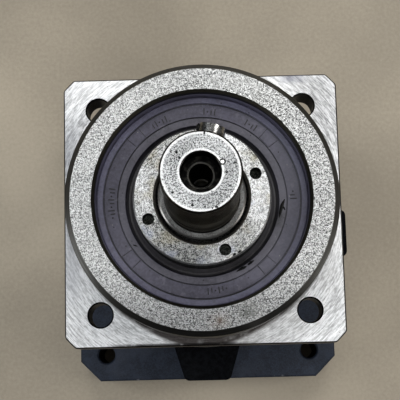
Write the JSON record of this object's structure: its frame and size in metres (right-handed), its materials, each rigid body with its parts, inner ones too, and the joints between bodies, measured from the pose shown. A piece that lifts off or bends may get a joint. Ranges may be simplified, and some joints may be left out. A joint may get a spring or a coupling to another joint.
{
  "type": "planetary gearbox",
  "caption": "Inline planetary gearbox with a square flange, round centring pilot, keyed output shaft and a square motor adapter plate.",
  "frame": {"origin": "centre of the motor face of the adapter plate, at the bottom of the gearbox standing on that face", "axes": "+Z along the output shaft towards its free end, X and Y square to the flange edges"},
  "size_m": [0.08, 0.08, 0.16],
  "materials": {
    "machined_steel": "turned face, fine machining grain",
    "shaft_steel": "ground, fine grain",
    "nut_steel": "ground",
    "key_steel": "drawn bar",
    "gear_steel": "hobbed and ground",
    "bearing_steel": "polished",
    "ball_chrome": "mirror polished",
    "cage_brass": "pressed",
    "spring_steel": "phosphated",
    "black_screw": "black oxide",
    "seal_rubber": "moulded, satin",
    "black_anodised": "dark anodised, matt",
    "black_paint": "satin black",
    "plug_plastic": "moulded"
  },
  "bodies": {
    "housing": {"motor_adapter_plate": "black_anodised", "input_housing": "black_paint", "access_plugs": "plug_plastic", "adapter_screws": "black_screw", "case_screws": "black_screw", "ring_gear": "gear_steel", "output_housing": "machined_steel", "output_seal": "seal_rubber", "seal_garter_spring": "spring_steel", "front_bearing_outer_race": "bearing_steel", "rear_bearing_outer_race": "bearing_steel", "input_bearing_outer_race": "bearing_steel", "housing_circlip": "spring_steel", "input_shaft_seal": "seal_rubber"},
    "output": {"output_shaft_carrier": "shaft_steel", "shaft_key": "key_steel", "preload_nut": "nut_steel", "carrier_rear_plate": "shaft_steel", "carrier_screws": "black_screw", "front_bearing_inner_race": "bearing_steel", "rear_bearing_inner_race": "bearing_steel", "planet_pins": "bearing_steel", "planet_thrust_washers": "bearing_steel"},
    "planet_1": {"planet_gear_1": "gear_steel"},
    "planet_2": {"planet_gear_2": "gear_steel"},
    "planet_3": {"planet_gear_3": "gear_steel"},
    "needles_1": {"planet_needles_1": "bearing_steel"},
    "needles_2": {"planet_needles_2": "bearing_steel"},
    "needles_3": {"planet_needles_3": "bearing_steel"},
    "front_cage": {"front_bearing_balls": "ball_chrome", "front_bearing_cage": "cage_brass"},
    "rear_cage": {"rear_bearing_balls": "ball_chrome", "rear_bearing_cage": "cage_brass"},
    "input_cage": {"input_bearing_balls": "ball_chrome", "input_bearing_cage": "cage_brass"},
    "input": {"sun_gear_shaft": "gear_steel", "hub_set_screws": "black_screw", "input_bearing_inner_race": "bearing_steel", "input_shaft_circlip": "spring_steel"}
  },
  "joints": [
    {"name": "output_spin", "type": "hinge", "parent": "housing", "child": "output", "pos_m": [0, 0, 0.112], "axis": [0, 0, 1], "continuous": true},
    {"name": "input_spin", "type": "hinge", "parent": "housing", "child": "input", "pos_m": [0, 0, 0.05], "axis": [0, 0, 1], "continuous": true},
    {"name": "planet_1_spin", "type": "hinge", "parent": "output", "child": "planet_1", "pos_m": [0, 0.015, 0.0721], "axis": [0, 0, 1], "continuous": true},
    {"name": "planet_2_spin", "type": "hinge", "parent": "output", "child": "planet_2", "pos_m": [-0.01299, -0.0075, 0.0721], "axis": [0, 0, 1], "continuous": true},
    {"name": "planet_3_spin", "type": "hinge", "parent": "output", "child": "planet_3", "pos_m": [0.01299, -0.0075, 0.0721], "axis": [0, 0, 1], "continuous": true},
    {"name": "needles_1_spin", "type": "hinge", "parent": "output", "child": "needles_1", "pos_m": [0, 0.015, 0.0721], "axis": [0, 0, 1], "continuous": true},
    {"name": "needles_2_spin", "type": "hinge", "parent": "output", "child": "needles_2", "pos_m": [-0.01299, -0.0075, 0.0721], "axis": [0, 0, 1], "continuous": true},
    {"name": "needles_3_spin", "type": "hinge", "parent": "output", "child": "needles_3", "pos_m": [0.01299, -0.0075, 0.0721], "axis": [0, 0, 1], "continuous": true},
    {"name": "front_cage_spin", "type": "hinge", "parent": "housing", "child": "front_cage", "pos_m": [0, 0, 0.1117], "axis": [0, 0, 1], "continuous": true},
    {"name": "rear_cage_spin", "type": "hinge", "parent": "housing", "child": "rear_cage", "pos_m": [0, 0, 0.0947], "axis": [0, 0, 1], "continuous": true},
    {"name": "input_cage_spin", "type": "hinge", "parent": "housing", "child": "input_cage", "pos_m": [0, 0, 0.0505], "axis": [0, 0, 1], "continuous": true}
  ],
  "couplings": [
    {"joint": "input_spin", "follows": "output_spin", "ratio": 4},
    {"joint": "planet_1_spin", "follows": "output_spin", "ratio": -3},
    {"joint": "planet_2_spin", "follows": "output_spin", "ratio": -3},
    {"joint": "planet_3_spin", "follows": "output_spin", "ratio": -3},
    {"joint": "needles_1_spin", "follows": "output_spin", "ratio": -1.8},
    {"joint": "needles_2_spin", "follows": "output_spin", "ratio": -1.8},
    {"joint": "needles_3_spin", "follows": "output_spin", "ratio": -1.8},
    {"joint": "front_cage_spin", "follows": "output_spin", "ratio": 0.414},
    {"joint": "rear_cage_spin", "follows": "output_spin", "ratio": 0.414},
    {"joint": "input_cage_spin", "follows": "output_spin", "ratio": 1.713}
  ]
}
